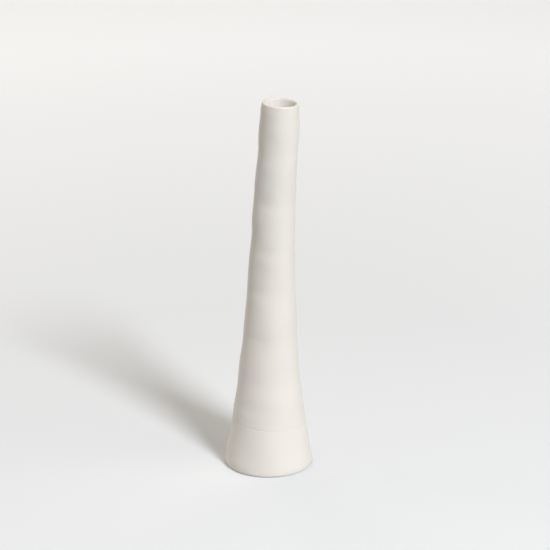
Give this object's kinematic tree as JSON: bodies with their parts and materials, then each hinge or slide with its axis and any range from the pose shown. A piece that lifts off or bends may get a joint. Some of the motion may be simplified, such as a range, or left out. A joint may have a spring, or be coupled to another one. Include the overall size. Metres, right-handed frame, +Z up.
{
  "type": "stem vase",
  "caption": "Tall slim glazed stem vase with a narrow round mouth and rounded lip, its softly uneven wall leaning to one side and flaring to a wide round foot; holds cut stems in water.",
  "frame": {"origin": "centre of the foot, on the plane that the vase stands on", "axes": "+Z up to the mouth, +X the way the vase leans, -Y the front as pictured"},
  "size_m": [0.0696, 0.0696, 0.3],
  "materials": {
    "clay": "fired white clay, bare and matt",
    "outer_glaze": "warm white satin glaze",
    "liner_glaze": "warm white satin glaze"
  },
  "bodies": {
    "root": {"floor_disc": "clay", "foot_course": "clay", "wall_course_1": "clay", "wall_course_2": "clay", "wall_course_3": "clay", "wall_course_4": "clay", "wall_course_5": "clay", "wall_course_6": "clay", "rim_course": "clay", "outer_glaze": "outer_glaze", "liner_glaze": "liner_glaze"}
  },
  "joints": []
}
